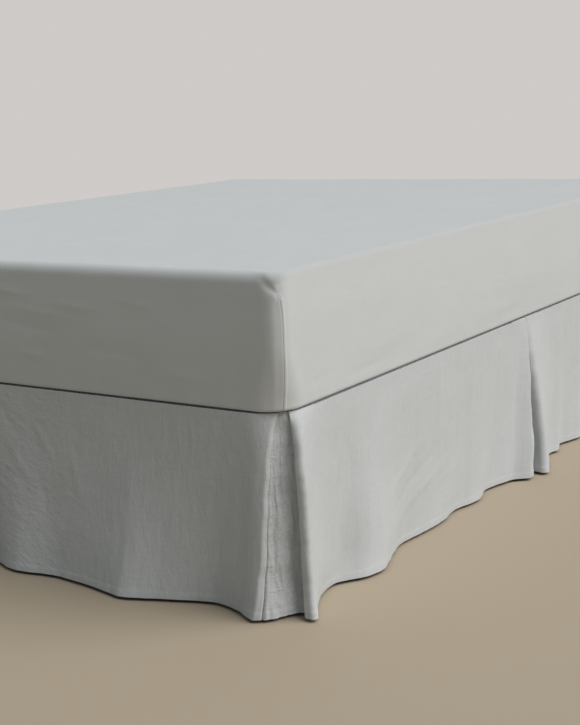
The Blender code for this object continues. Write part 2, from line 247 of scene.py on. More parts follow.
def makeLinen():
    look = linenLook
    linen = Finish("linen", 0.9, 0.12)
    across, up, _ = linen.split(linen.node("ShaderNodeUVMap", {"uv_map": "cloth"}))
    turn = math.pi / look["thread"]
    # small crumples run upright, or aslant; a slow drift bends them
    drift = linen.grain((across, up, 8.0), 16.0, 1.0) * 0.03
    slant, amount = linen.attribute("slant"), linen.attribute("crumple")
    lean, rise = look["foldedWay"]
    acrossFold, alongFold = across * lean - up * rise, across * rise + up * lean
    upright = linen.grain(((across + drift) * 84, (up + drift) * 24, 8.0), 1.0, 3.0)
    folded = linen.grain(((acrossFold + drift) * 104, (alongFold - drift) * 36, 21.0), 1.0, 1.5) * 0.75
    # thin lines where the crumples pass their middle, sunk as creases and painted darker as shade
    sharp = linen.within(abs(upright), 0.0, 0.05) * (1 - slant) + linen.within(abs(folded), 0.0, 0.05) * slant
    onLine = linen.within(abs(up - look["stitchUp"]), 0.0001, 0.0006)
    dash = linen.maths("PINGPONG", across, look["stitchLength"])
    return linen.dress(look, {
        "weave": linen.maths("SINE", across * turn) * linen.maths("SINE", up * turn),
        "warpSlubs": linen.grain((across * 620, up * 16, 3.0)),
        "weftSlubs": linen.grain((across * 16, up * 620, 11.0)),
        "warpStreaks": linen.grain((across * 170, up * 7, 5.0), 1.0, 3.0),
        "weftStreaks": linen.grain((across * 8, up * 230, 17.0), 1.0, 3.0),
        "mottle": linen.grain((across, up, 2.0), 14.0, 3.0),
        "crumple": amount * (upright * (1 - slant) + folded * slant),
        "finer": amount * linen.grain(((across - drift) * 150, (up + drift) * 70, 33.0), 1.0, 2.0),
        # the creases: sunk, with painted shade
        "creases": sharp * amount,
        "stitches": onLine * linen.within(dash, 0.0011, 0.0015),
        "stitchLine": onLine,
    })


sheetingLook = {
    "pale": (0.574, 0.602, 0.604),
    "deep": (0.4, 0.42, 0.42),
    "tone": 0.87,
    "thread": 0.0005,
    "grooveWidth": (0.0003, 0.0019),
    "weltPlace": 0.0044,  # past the seam, towards the side
    "weltWidth": (0.0004, 0.0026),
    "weltEnds": (0.007, 0.009),  # from the seam, also where that is not stitched yet
    "weave": (0.004, 0.000012),
    "mottle": (0.15, 0),
    "slack": (0, 0.0012),
    "fine": (0.055, 0.00022),
    # the seam's groove is sunk, and its tone painted darker as the shade in it
    "grooveAndShade": (-0.56, -0.001),
    "welt": (0.13, 0.0005),
    # painted shade along the tight side rim, darkest where its turn would catch the key light as a bright
    # line
    "paintedRimShade": (-0.62, 0),
}


def makeSheeting():
    look = sheetingLook
    sheeting = Finish("sheeting", 0.8, 0.1)
    place = sheeting.objectPlace()
    x, y, z = sheeting.split(place)
    turn = 2 * math.pi / look["thread"]
    fromSeam = sheeting.attribute("fromSeam")
    welt = sheeting.within(abs(sheeting.attribute("pastSeam") - look["weltPlace"]), *look["weltWidth"])
    return sheeting.dress(look, {
        "weave": sum(sheeting.maths("SINE", part * turn) for part in (x, y, z)),
        "mottle": sheeting.grain(place, 7.0, 3.0),
        "slack": sheeting.grain((x * 5, y * 5, z * 16), 1.0, 3.0),
        "fine": sheeting.grain(place, 55.0, 3.0),
        # the groove's depth, and painted shade along it
        "grooveAndShade": sheeting.within(fromSeam, *look["grooveWidth"]),
        "welt": welt * sheeting.within(fromSeam, *look["weltEnds"]),
        # the mattress's layer says where the rim gets its painted shade
        "paintedRimShade": sheeting.attribute("rimShade"),
    })


tickingLook = {
    "pale": (0.66, 0.64, 0.6),
    "deep": (0.54, 0.53, 0.5),
    "tone": 0.5,
    "ribPitch": 0.0016,
    "yarnPitch": 0.00096,
    "rib": (0.16, 0.00007),
    "yarn": (0.08, 0.00003),
    "mottle": (0.6, 0.0008),
    "nep": (0.5, 0.0001),
}


def makeTicking():
    # a close twill for the base's cover
    look = tickingLook
    ticking = Finish("ticking", 0.9, 0.1)
    place = ticking.objectPlace()
    x, y, z = ticking.split(place)
    return ticking.dress(look, {
        "rib": ticking.maths("SINE", (x + y + z) * (2 * math.pi / look["ribPitch"])),
        "yarn": ticking.maths("SINE", (x + y - z) * (2 * math.pi / look["yarnPitch"])),
        "mottle": ticking.grain(place, 16.0, 4.0),
        "nep": ticking.grain(place, 420.0, 2.0),
    })


beechLook = {
    "pale": (0.47, 0.31, 0.175),
    "deep": (0.33, 0.205, 0.11),
    "tone": 0.55,
    "roughness": 0.45,
    "ringTurn": 756.0,
    "rings": (0.2, 0),
    "warp": (0.8, 0),
    "flecks": (-0.35, -0.00004),
}


def makeBeech():
    look = beechLook
    beech = Finish("beech", look["roughness"])
    x, y, z = beech.split(beech.objectPlace())
    warp = beech.grain((x * 14, y * 14, z * 3), 1.0, 3.0)
    flecks = 1 - beech.within(beech.grain((x * 900, y * 900, z * 90), 1.0, 1.0), 0.1, 0.2)
    rings = beech.maths("SINE", (x + warp * 0.05) * look["ringTurn"])
    patterns = {"rings": rings, "warp": warp, "flecks": flecks}
    return beech.dress(look, patterns, look["roughness"] + warp * 0.15)


dustLook = {"pale": (0.06, 0.06, 0.062), "deep": (0.03, 0.03, 0.032), "tone": 0.5, "fibres": (1, 0.0001)}


def makeDustCloth():
    dust = Finish("dustCloth", 0.95)
    return dust.dress(dustLook, {"fibres": dust.grain(dust.objectPlace(), 600.0, 3.0)})


linenCloth = makeLinen()
sheetingCloth = makeSheeting()
tickingCloth = makeTicking()
beechWood = makeBeech()
dustCloth = makeDustCloth()
print("materials made")


# Shared modelling


def addPiece(name, bm, finishes, slot, *nodes):
    bmesh.ops.translate(bm, vec=bedMiddle, verts=bm.verts)
    mesh = bpy.data.meshes.new(name)
    bm.to_mesh(mesh)
    bm.free()
    for finish in finishes:
        mesh.materials.append(finish)
    mesh.shade_smooth()
    piece = addObject(name, mesh)
    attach(piece, "root")
    if nodes:
        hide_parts(*nodes)
    return piece


def thicken(piece, thickness, thinner=None):
    solid = piece.modifiers.new("thickness", "SOLIDIFY")
    solid.thickness = thickness
    solid.offset = 0
    if thinner is not None:
        solid.vertex_group = "doubled"
        solid.thickness_vertex_group = thinner


def inMetres(*rows):
    # rows are written in millimetres
    return tuple(tuple(value / 1000 for value in row) for row in rows)


def noiseAt(x, y, z):
    return noise.noise(Vector((x, y, z)))


def clamped(value, limit):
    return min(max(value, -limit), limit)


def tableValue(rows, at):
    # a smooth curve through rows of (place, value)
    at = min(max(at, rows[0][0]), rows[-1][0])
    index = min(max(bisect([row[0] for row in rows], at) - 1, 0), len(rows) - 2)
    before, low, high, after = (rows[min(max(index + step, 0), len(rows) - 1)] for step in (-1, 0, 1, 2))
    span = high[0] - low[0]
    t = (at - low[0]) / span
    slopeLow = (high[1] - before[1]) / (high[0] - before[0]) * span
    slopeHigh = (after[1] - low[1]) / (after[0] - low[0]) * span
    bend = low[1] * (1 + 2 * t) * (1 - t) ** 2 + high[1] * t * t * (3 - 2 * t)
    return bend + slopeLow * t * (1 - t) ** 2 - slopeHigh * t * t * (1 - t)


def creaseRise(creases, across, down):
    # creases are soft ridges, or troughs where their rise is negative, drawn from one point to another
    total = 0.0
    for fromAcross, fromDown, toAcross, toDown, width, rise in creases:
        runAcross, runDown = toAcross - fromAcross, toDown - fromDown
        offAcross, offDown = across - fromAcross, down - fromDown
        part = (offAcross * runAcross + offDown * runDown) / (runAcross**2 + runDown**2)
        part = min(1.0, max(0.0, part))
        near = (offAcross - runAcross * part) ** 2 + (offDown - runDown * part) ** 2
        if near < 9 * width * width:
            total += rise * math.exp(-near / (width * width)) * (0.35 + 0.65 * math.sin(math.pi * part))
    return total


# Floor

floorLook = {
    "reach": 7.4,
    "pale": (0.407, 0.345, 0.2575),
    "deep": (0.383, 0.325, 0.2425),
    "tone": 0.5,
    "mottle": (0.3, 0),
}


def makeFloor():
    bm = bmesh.new()
    bmesh.ops.create_circle(bm, cap_ends=True, segments=128, radius=floorLook["reach"])
    mesh = bpy.data.meshes.new("floor")
    bm.to_mesh(mesh)
    bm.free()
    finish = Finish("paleFloor", 0.7)
    mesh.materials.append(finish.dress(floorLook, {"mottle": finish.grain(finish.objectPlace(), 1.5, 3.0)}))
    addObject("floor", mesh)


makeFloor()


# Mattress in its fitted sheet

mattress = {
    "bottom": 0.3622,
    "halfWidth": 0.762,
    "halfLength": 1.016,
    "thickness": 0.238,
    "corner": 0.064,
    "upperCorner": 0.034,
    "leastCorner": 0.011,
    "cornerTightens": 0.115,
    "footRim": 0.022,
    "sideRim": 0.0045,
    "rimChange": 0.12,
    "bottomRim": 0.006,
    "bulge": 0.003,
    "crown": 0.004,
    "crownReach": 0.5,
    "cells": (136, 168, 46),
    "crowding": (0.4, 0.4, 0.25),  # how much the rows crowd towards the edges
    # rise, and how many to a metre
    "slack": (0.0011, 5.5),
    "ripples": (0.0005, 17.0),
    "gathers": (0.0011, 42),  # over the hem's elastic
    "gathersFrom": (0.196, 0.034),
    "tucks": (0.0006, 520, 260, 0.01),  # rise, turns to a metre down and round the corner, and reach
    # how far down, and the degrees from the foot's face to the corner seam
    "seamTurn": ((0.0, 44), (0.02, 46), (0.04, 53), (0.07, 57), (0.13, 56), (0.238, 49)),
    "seamLine": (0.03, 0.02),  # how far down its stitched line starts, and its fading in
    "seamStarts": (0.02, 0.03),
    "seamEases": (0.4, 0.05),  # to what share it sinks, over the last stretch to the bottom
    "seamSlopes": (0.24, 0.3),  # how sharply the seam stands up, at its top and bottom
    "seamSpreads": (0.01, 0.018),
    "shoulder": (0.0155, 0.32, 0.005),  # a softer ridge that far to the foot of the seam, its slope, spread
    # drag lines: along from the near corner and down from the top, to the same, width, rise
    "footDrags": inMetres(
        (700, 45, 560, 62, 7, 1.3), (500, 72, 400, 82, 6, 1), (660, 110, 500, 128, 8, -1),
        (600, 172, 520, 178, 6, 1.1), (340, 60, 260, 75, 7, 0.8), (440, 150, 300, 160, 9, -0.8),
        (620, 85, 470, 98, 6, 0.8), (260, 185, 160, 190, 8, 0.7),
    ),
    "sideDrags": inMetres(
        (60, 205, 160, 195, 8, -0.6), (220, 214, 360, 208, 7, -0.6), (300, 185, 480, 175, 14, 0.6),
        (800, 200, 1000, 192, 12, 0.6),
    ),
    # round the top of the near corner's seam: from it towards the foot, and down, to the same, width, rise
    "cornerFolds": inMetres(
        (22, 13, 6, 33, 6.2, -4), (2, 28, 12, 46, 4, 1.6), (14, 22, 8, 44, 3.5, 1.2),
        (-14, 22, -4, 40, 5, 0.8),
    ),
}


def crowded(t, amount):
    return t * (1 + amount) - amount * t**3


def rimTurn(rise, reach, radius):
    # insets and heights round a rim: rise goes up its wall and reach goes in over its top
    turn = math.pi / 4 * (rise + reach) / radius
    return radius * (1 - math.cos(turn)), radius * math.sin(turn), turn


def mattressPoint(grid):
    m = mattress
    across = m["halfWidth"] * crowded(grid.x, m["crowding"][0])
    lengthwise = m["halfLength"] * crowded(grid.y, m["crowding"][1])
    up = m["thickness"] * (crowded(grid.z, m["crowding"][2]) + 1) / 2
    fromSide, fromFoot = m["halfWidth"] - abs(across), m["halfLength"] - abs(lengthwise)
    inward = min(fromSide, fromFoot)
    towardsSide = smoothStep(0.5 + (fromFoot - fromSide) / m["rimChange"])
    radius = m["footRim"] + (m["sideRim"] - m["footRim"]) * towardsSide
    wallTop, wallBottom = m["thickness"] - radius, m["bottomRim"]
    lean = 0.0  # how far the surface has turned from upright to level
    if up >= wallTop:
        inset, rise, lean = rimTurn(up - wallTop, min(inward, radius), radius)
        inset, height = m["bulge"] + inset + max(0.0, inward - radius), wallTop + rise
        share = (inset - m["bulge"] - radius) / (m["crownReach"] - radius)
        height += m["crown"] * math.sin(math.pi / 2 * min(1.0, max(0.0, share)))
    elif up <= wallBottom:
        radius = m["bottomRim"]
        inset, drop, lean = rimTurn(wallBottom - up, min(inward, radius), radius)
        inset, height, lean = m["bulge"] + inset + max(0.0, inward - radius), wallBottom - drop, -lean
    else:
        share = (up - wallBottom) / (wallTop - wallBottom)
        inset, height = m["bulge"] * (1 - math.sin(math.pi * share)), up
    halfWidth, halfLength = m["halfWidth"] - inset, m["halfLength"] - inset
    x = across / (m["halfWidth"] - inward) * halfWidth
    y = lengthwise / (m["halfLength"] - inward) * halfLength
    low, high = m["corner"] - inset, max(m["upperCorner"] - inset, m["leastCorner"])
    corner = low + (high - low) * smoothStep(height / m["cornerTightens"])
    corner = min(max(corner, 0.001), halfWidth)
    innerX, innerY = clamped(x, halfWidth - corner), clamped(y, halfLength - corner)
    outX, outY = x - innerX, y - innerY
    # the seam's place on the corner, and the way round the wall from it, positive towards the side
    seamTurn = math.radians(tableValue(m["seamTurn"], m["thickness"] - height))
    if outX and outY:
        turned = math.atan2(abs(outX), abs(outY)) / (math.pi / 4)
        turned = seamTurn * turned if turned < 1 else seamTurn + (math.pi / 2 - seamTurn) * (turned - 1)
        outX = math.copysign(corner * math.sin(turned), outX)
        outY = math.copysign(corner * math.cos(turned), outY)
        x, y = innerX + outX, innerY + outY
        seam = corner * (turned - seamTurn)
    elif abs(outX) > abs(outY):
        seam = corner * (math.pi / 2 - seamTurn) + halfLength - corner - abs(y)
    else:
        seam = -(corner * seamTurn + halfWidth - corner - abs(x))
    outward = Vector((outX, outY, 0)).normalized() if outX or outY else Vector((0, 0, 0))
    facing = outward * math.cos(lean) + Vector((0, 0, math.sin(lean)))
    # the share of painted shade on the rim: most half way round its turn, and only where the rim is tight
    rimShade = max(0.0, math.sin(2 * lean)) * smoothStep((0.016 - radius) / 0.008)
    return Vector((x, y, height)), facing, seam, inward, rimShade


def mattressRelief(point, seam, inward):
    m = mattress
    down = m["thickness"] - point.z
    (slack, often), (small, oftener), (gather, across) = m["slack"], m["ripples"], m["gathers"]
    rise = slack * noise.noise(point * often + Vector((3, 1, 7))) + small * noise.noise(point * oftener)
    if inward > 0.03:
        return rise
    gathered = noiseAt(seam * across, point.x + point.y, down * 9)
    rise += gather * gathered * fadeIn(down, m["gathersFrom"])
    if point.y < 0 and seam < 0:
        rise += creaseRise(m["footDrags"], m["halfWidth"] - point.x, down)
    if point.x > 0 and seam > 0:
        rise += creaseRise(m["sideDrags"], m["halfLength"] + point.y, down)
    if point.x > 0 and point.y < 0:
        rise += creaseRise(m["cornerFolds"], -seam, down)
    # the seam stands up in a soft ridge, and little tucks fan out from its top
    least, eases = m["seamEases"]
    starts = fadeIn(down, m["seamStarts"]) * (least + (1 - least) * smoothStep(point.z / eases))
    share = smoothStep(down / m["thickness"])
    slope, spread = (high + (low - high) * share for high, low in (m["seamSlopes"], m["seamSpreads"]))
    rise += starts * slope * spread * math.exp(-abs(seam) / spread)
    place, slope, spread = m["shoulder"]
    rise += starts * slope * spread * math.exp(-abs(seam + place) / spread)
    tuck, turnsDown, turnsRound, reach = m["tucks"]
    tucks = math.sin(down * turnsDown + abs(seam) * turnsRound) * math.exp(-abs(seam) / reach)
    return rise + tuck * tucks * fadeIn(down, (0.012, 0.01)) * (1 - fadeIn(down, (0.045, 0.03)))


def makeMattress():
    bm = bmesh.new()
    bmesh.ops.create_cube(bm, size=2.0)
    for axis, cells in enumerate(mattress["cells"]):
        lines = [e for e in bm.edges if abs(e.verts[0].co[axis] - e.verts[1].co[axis]) > 1.9]
        bmesh.ops.subdivide_edges(bm, edges=lines, cuts=cells - 1, use_grid_fill=True)
    fromSeam, pastSeam = bm.verts.layers.float.new("fromSeam"), bm.verts.layers.float.new("pastSeam")
    # a layer for the painted shade on the rim
    rimShadeLayer = bm.verts.layers.float.new("rimShade")
    for vert in bm.verts:
        point, facing, seam, inward, vert[rimShadeLayer] = mattressPoint(vert.co)
        unstitched = 0.006 * (1 - fadeIn(mattress["thickness"] - point.z, mattress["seamLine"]))
        vert[fromSeam] = min(0.05, abs(seam) + unstitched) if inward < 0.012 else 0.05
        vert[pastSeam] = min(0.05, max(-0.05, seam))
        point += facing * mattressRelief(point, seam, inward) if facing.z > -0.5 else Vector()
        vert.co = point + Vector((0, 0, mattress["bottom"]))
    piece = addPiece("mattressInSheet", bm, [sheetingCloth], "sheeting", "mattress")


makeMattress()
print("mattress made")


# Base and legs

base = {
    "halfWidth": 0.735,
    "halfLength": 0.989,
    "corner": 0.066,
    "bottom": 0.155,
    "height": 0.205,
    "edge": 0.006,
    "piping": 0.0032,
    "pipingInset": 0.0005,
    "dustCloth": ((0.028, 0), (0.0015, -0.0012)),  # underneath: insets and depths, one inside the other
}


def roundedRing(halfWidth, halfLength, corner, steps):
    ring = []
    for quarter, (x, y) in enumerate(((1, 1), (-1, 1), (-1, -1), (1, -1))):
        for step in range(steps + 1):
            angle = math.pi / 2 * (quarter + step / steps)
            ring.append((x * (halfWidth - corner) + corner * math.cos(angle),
                         y * (halfLength - corner) + corner * math.sin(angle)))
    return ring


def makeBase():
    b = base
    bm = bmesh.new()
    bmesh.ops.create_cube(bm, size=1.0)
    bmesh.ops.scale(bm, vec=(2 * b["halfWidth"], 2 * b["halfLength"], b["height"]), verts=bm.verts)
    bmesh.ops.translate(bm, vec=(0, 0, b["bottom"] + b["height"] / 2), verts=bm.verts)
    upright = [e for e in bm.edges if abs(e.verts[0].co.z - e.verts[1].co.z) > 0.1]
    rounding = {"profile": 0.5, "affect": "EDGES", "material": -1}
    bmesh.ops.bevel(bm, geom=upright, offset=b["corner"], segments=14, **rounding)
    for level in (b["bottom"], b["bottom"] + b["height"]):
        rim = [e for e in bm.edges if all(abs(v.co.z - level) < 1e-5 for v in e.verts)]
        bmesh.ops.bevel(bm, geom=rim, offset=b["edge"], segments=4, **rounding)
    under = [f for f in bm.faces if f.normal.z < -0.99 and len(f.verts) > 8]
    for thickness, depth in b["dustCloth"]:
        bmesh.ops.inset_region(bm, faces=under, thickness=thickness, depth=depth, use_even_offset=True)
        for face in under:
            face.material_index = 1
    piece = addPiece("coveredBase", bm, [tickingCloth, dustCloth], "ticking", "base")
    top = b["bottom"] + b["height"]
    inset = b["pipingInset"]
    for name, level in (("lowerPiping", b["bottom"] + b["edge"]), ("upperPiping", top - b["edge"])):
        curve = bpy.data.curves.new(name, "CURVE")
        curve.dimensions = "3D"
        curve.bevel_depth, curve.bevel_resolution = b["piping"], 3
        ring = roundedRing(b["halfWidth"] - inset, b["halfLength"] - inset, b["corner"], 12)
        line = curve.splines.new("POLY")
        line.points.add(len(ring) - 1)
        for point, (x, y) in zip(line.points, ring):
            point.co = (x, y, level, 1)
        line.use_cyclic_u = True
        drawn = addObject(name + "Line", curve)
        bm = bmesh.new()
        bm.from_mesh(drawn.to_mesh())
        bpy.data.objects.remove(drawn)
        addPiece(name, bm, [tickingCloth], "ticking")


leg = {
    "x": 0.62,
    "y": 0.874,
    # radius and height, from the floor up
    "profile": inMetres(
        (0, 0), (20.5, 0), (21.5, 0.8), (21.5, 3.5), (22.6, 3.6), (23.6, 5.2), (25, 40), (26.6, 80),
        (28.4, 124), (29, 138.5), (27.2, 140.2), (27.2, 142.5), (29, 144.2), (29.7, 150), (29, 154.6),
        (0, 154.7),
    ),
    "glideTop": 0.0036,
}


def makeLegs():
    for side, x in (("left", -leg["x"]), ("right", leg["x"])):
        for place, y in (("foot", -leg["y"]), ("middle", 0.0), ("head", leg["y"])):
            bm = bmesh.new()
            corners = [bm.verts.new((radius, 0, height)) for radius, height in leg["profile"]]
            lines = [bm.edges.new(pair) for pair in zip(corners, corners[1:])]
            turned = {"cent": (0, 0, 0), "axis": (0, 0, 1), "angle": 2 * math.pi, "steps": 40}
            bmesh.ops.spin(bm, geom=corners + lines, use_merge=True, **turned)
            bmesh.ops.remove_doubles(bm, verts=bm.verts, dist=1e-6)
            bmesh.ops.recalc_face_normals(bm, faces=bm.faces)
            for face in bm.faces:
                face.material_index = int(face.calc_center_median().z < leg["glideTop"])
            bmesh.ops.translate(bm, vec=(x, y, 0), verts=bm.verts)
            name, node = f"{side}{place.title()}Leg", f"leg_{side}_{place}"
            piece = addPiece(name, bm, [beechWood, dustCloth], "beech", node)
            piece.data.set_sharp_from_angle(angle=math.radians(35))


makeBase()
makeLegs()
print("base and legs made")


# The skirt: its deck and its drop

drop = {
    "top": 0.36,
    "height": 0.354,
    "tuckedBelow": 0.0005,  # the cloth's top edge stays this far under the deck
    "deckInset": 0.0025,  # and the deck's rim this far behind it
    "deckSags": (0.02, 0.006),  # past the base's edge: how wide, and how far down
    "inset": 0.003,
    "corner": 0.08,
    "cloth": 0.0014,
    "hemCloth": 0.0019,
    "hemWidth": 0.012,
    "return": 0.068,
    "gapTop": 0.0028,
    "gapHem": 0.0036,
    "foldRoom": 0.0032,
    "seamTaper": 0.016,
    "openings": {"corner": 0.55, "middle": 1.7, "head": 1.0},
    "wavePower": 1.7,
    "pitch": 0.004,
    "foldSteps": 8,
    "foldTurn": 0.018,  # the cloth in a fold's turn
    "wobble": 0.0022,  # how unevenly the folds' edges run
    "wobbles": (26, 70, 0.4),  # how many to a metre, coarse and fine, and the fine one's share
    "firstRow": 0.0008,
    "hemStep": 0.0004,  # the doubled hem's edge lies between two rows that far on each side
    "hemRows": 3,
    "allowance": 0.024,  # for the hem and the seam
    "deckUp": 0.0011,
}
# rise in metres, and how many to a metre along and down
wrinkles = {
    "drift": (0.014, 14, 14),
    "broad": (0.0016, 9, 8),
    "tall": (0.0004, 36, 7),
    "small": (0.0007, 60, 20),
    "folded": (0.0007, 64, 20),
    "hem": (0.0011, 55, 0),
}
backingLook = {
    "folds": 0.002,
    "small": -0.0034,
    "tiny": -0.0018,
    "fadeIn": (0.03, 0.25),
    "dentFrom": (0.02, 0.14),
    "crumple": 3.3,
    "slant": 0.6,
}
halfWidth, halfLength = mattress["halfWidth"] - drop["inset"], mattress["halfLength"] - drop["inset"]


def dropFace(x, run, outward, halfRun):
    corner = Vector((x * halfWidth, -halfLength))
    return {"corner": corner, "run": Vector(run), "outward": Vector(outward), "length": 2 * halfRun}


nearFoot = dropFace(1, (-1, 0), (0, -1), halfWidth)
farFoot = dropFace(-1, (1, 0), (0, -1), halfWidth)
nearSide = dropFace(1, (0, 1), (1, 0), halfLength)
farSide = dropFace(-1, (0, 1), (-1, 0), halfLength)

# For each front panel, along its face from the foot corner: waves say how far the hem stands out. cornerReach
# is where the corner's own swing ends, and opening how much of it there is on the way down. swing says from
# where to where a middle pleat's edge comes out sooner, and how soon. rolls say how each end turns in towards
# the bed: by how many degrees on the way down, and the length of cloth in the bend and past it. crumple says
# how much small wrinkling there is, and slant how much of it runs aslant. creases run from along and down to
# along and down, and then come their width and rise.
softRoll = {"turn": ((0, 0), (0.3, 34), (1, 55)), "bend": 0.014, "leg": ((0, 0), (1, 0.008))}
slightRoll = {"turn": ((0, 0), (1, 28)), "bend": 0.012, "leg": ((0, 0), (1, 0.002))}
footNear = {
    "name": "frontFootNear", "face": nearFoot, "ends": ("corner", "middle"), "seed": 3.1,
    "cornerReach": 0.145,
    "rolls": (
        {"turn": ((0, 0), (0.1, 42), (1, 54)), "bend": 0.0055,
         "leg": ((0, 0.001), (0.2, 0.003), (0.6, 0.0045), (1, 0.009))},
        slightRoll,
    ),
    "opening": (
        (0, 0), (0.05, 0.1), (0.16, 0.25), (0.3, 0.36), (0.48, 0.5), (0.65, 0.6), (0.8, 0.72), (1, 1),
    ),
    "slant": ((0.04, 0.0), (0.3, 0.05), (0.44, 0.35), (0.56, 0.9), (0.73, 1.0)),
    "waves": inMetres(
        (42, 47), (68, 36), (100, 18), (151, 4), (189, 12), (224, 25), (259, 38), (295, 51), (330, 62),
        (360, 58), (400, 50), (430, 45), (470, 40), (520, 37), (570, 45), (600, 49), (632, 44), (667, 30),
        (690, 21), (727, 40),
    ),
    "crumple": ((0.04, 1.1), (0.15, 1.2), (0.35, 1.2), (0.5, 1.4), (0.65, 1.7), (0.73, 1.5)),
    "creases": inMetres(
        (150, 5, 165, 90, 8, 1), (205, 4, 200, 60, 6, 0.8), (255, 170, 262, 300, 10, -1.2),
        (310, 210, 305, 320, 9, 1.2), (345, 220, 352, 320, 8, -1), (560, 60, 515, 130, 7, 1.2),
        (640, 35, 600, 95, 7, -1.2), (620, 110, 570, 180, 8, 1.2), (680, 80, 650, 130, 6, 1),
        (545, 170, 530, 250, 7, -1), (470, 120, 440, 210, 10, 1), (100, 150, 110, 300, 12, -1.4),
    ),
}
footFar = {
    "name": "frontFootFar", "face": farFoot, "ends": ("corner", "middle"), "seed": 14.7,
    "cornerReach": 0.15, "rolls": (softRoll, slightRoll),
    "slant": ((0.04, 0.1), (0.4, 0.6), (0.73, 0.4)),
    "waves": inMetres(
        (40, 44), (90, 24), (150, 8), (205, 24), (260, 40), (325, 26), (395, 12), (465, 28), (540, 48),
        (600, 36), (660, 20), (727, 42),
    ),
    "crumple": ((0.04, 1.3), (0.35, 1.8), (0.73, 1.4)),
    "creases": inMetres(
        (170, 20, 180, 140, 8, 1), (300, 150, 290, 300, 10, -1.2), (420, 60, 450, 150, 8, 1.1),
        (520, 180, 530, 310, 9, -1.1), (610, 40, 640, 130, 8, 1), (110, 170, 105, 300, 11, -1.3),
    ),
}
sideNearFoot = {
    "name": "frontSideNearFoot", "face": nearSide, "ends": ("corner", "middle"), "seed": 25.3,
    "cornerReach": 0.165, "swing": (0.84, 0.92, 0.95),
    "rolls": (
        {"turn": ((0, 0), (0.05, 50), (0.1, 85), (0.3, 100), (0.7, 112), (0.88, 116), (1, 136)),
         "bend": 0.014, "leg": ((0, 0), (0.3, 0.004), (0.85, 0.007), (1, 0.014))},
        {"turn": ((0, 0), (1, 6)), "bend": 0.008, "leg": ((0, 0), (1, 0))},
    ),
    "slant": ((-0.02, 0.0), (0.2, 0.1), (0.45, 0.3), (0.7, 0.1), (0.95, 0.0)),
    "startRoom": 0.0185,
    "opening": (
        (0, 0), (0.03, 0.12), (0.07, 0.22), (0.13, 0.33), (0.2, 0.42), (0.31, 0.53), (0.42, 0.58),
        (0.52, 0.6), (0.65, 0.62), (0.77, 0.64), (0.88, 0.72), (1, 1),
    ),
    "waves": inMetres(
        (-10, 57), (18, 40.5), (60, 14), (113, -10), (160, -17), (178, -13), (195, -2), (213, 12),
        (236, 23), (270, 28), (319, 15), (356, 3), (410, -9), (450, -6), (500, -1), (580, 2), (635, -7),
        (662, -6), (700, 4), (740, 7), (795, -8), (825, -6), (860, 3), (897, 15), (926, 47),
    ),
    "crumple": ((-0.02, 0.7), (0.3, 0.6), (0.6, 0.55), (0.95, 0.6)),
    "creases": inMetres(
        (420, 50, 430, 230, 11, -1), (520, 30, 525, 200, 10, 1), (590, 60, 600, 240, 12, -1.1),
        (665, 20, 672, 180, 10, 1), (735, 50, 745, 200, 10, -1), (800, 40, 800, 170, 11, 1),
        (300, 250, 460, 160, 12, 1.3), (330, 275, 520, 190, 10, -1.1), (360, 300, 560, 225, 10, 1.1),
        (240, 120, 232, 300, 14, 1.2), (100, 140, 95, 320, 10, -1.2), (65, 180, 62, 330, 8, 1),
        (885, 100, 892, 300, 10, -1.2),
    ),
}
sideNearHead = {
    "name": "frontSideNearHead", "face": nearSide, "ends": ("middle", "head"), "seed": 36.9,
    "swing": (1.13, 0.99, 1.15),
    "rolls": (
        {"turn": ((0, 0), (0.2, 45), (0.4, 95), (0.6, 115), (1, 135)), "bend": 0.024,
         "leg": ((0, 0), (0.2, 0.002), (0.4, 0.006), (0.62, 0.014), (0.85, 0.026), (1, 0.031))},
        None,
    ),
    "slant": ((0.93, 0.0), (1.5, 0.1), (2.0, 0.0)),
    "waves": inMetres(
        (934, 88), (981, 69), (1022, 52), (1075, 30), (1128, 9), (1150, 10), (1168, 16), (1200, 6),
        (1228, -3), (1268, 7), (1310, 17), (1380, 4), (1440, -3), (1510, 10), (1580, 24), (1660, 12),
        (1740, 2), (1805, 10), (1870, 16), (1990, 4),
    ),
    "crumple": ((0.93, 0.6), (1.5, 0.8), (2.0, 0.8)),
    "creases": inMetres(
        (1090, 60, 1095, 260, 11, -1.1), (1150, 40, 1158, 240, 9, 1.1), (1200, 80, 1210, 300, 10, -1.1),
        (1300, 30, 1310, 220, 12, 1), (1420, 50, 1410, 230, 12, -1), (1560, 90, 1570, 300, 14, 1.2),
        (1700, 40, 1690, 210, 12, -1), (1830, 70, 1850, 260, 13, 1),
    ),
}
sideFarFoot = {
    "name": "frontSideFarFoot", "face": farSide, "ends": ("corner", "middle"), "seed": 47.2,
    "cornerReach": 0.15, "rolls": (softRoll, slightRoll),
    "slant": ((0.02, 0.1), (0.5, 0.3), (0.98, 0.1)),
    "waves": inMetres(
        (20, 42), (80, 18), (150, 2), (225, 18), (300, 34), (380, 14), (465, -4), (540, 10), (610, 22),
        (700, 8), (790, 0), (880, 16), (978, 46),
    ),
    "crumple": ((0.02, 0.9), (0.5, 1.1), (0.98, 0.9)),
    "creases": inMetres(
        (180, 40, 190, 210, 10, -1.1), (310, 120, 300, 310, 12, 1.2), (480, 60, 470, 240, 11, -1),
        (640, 30, 650, 190, 10, 1), (760, 100, 750, 280, 11, -1.1), (890, 50, 900, 250, 10, 1),
    ),
}
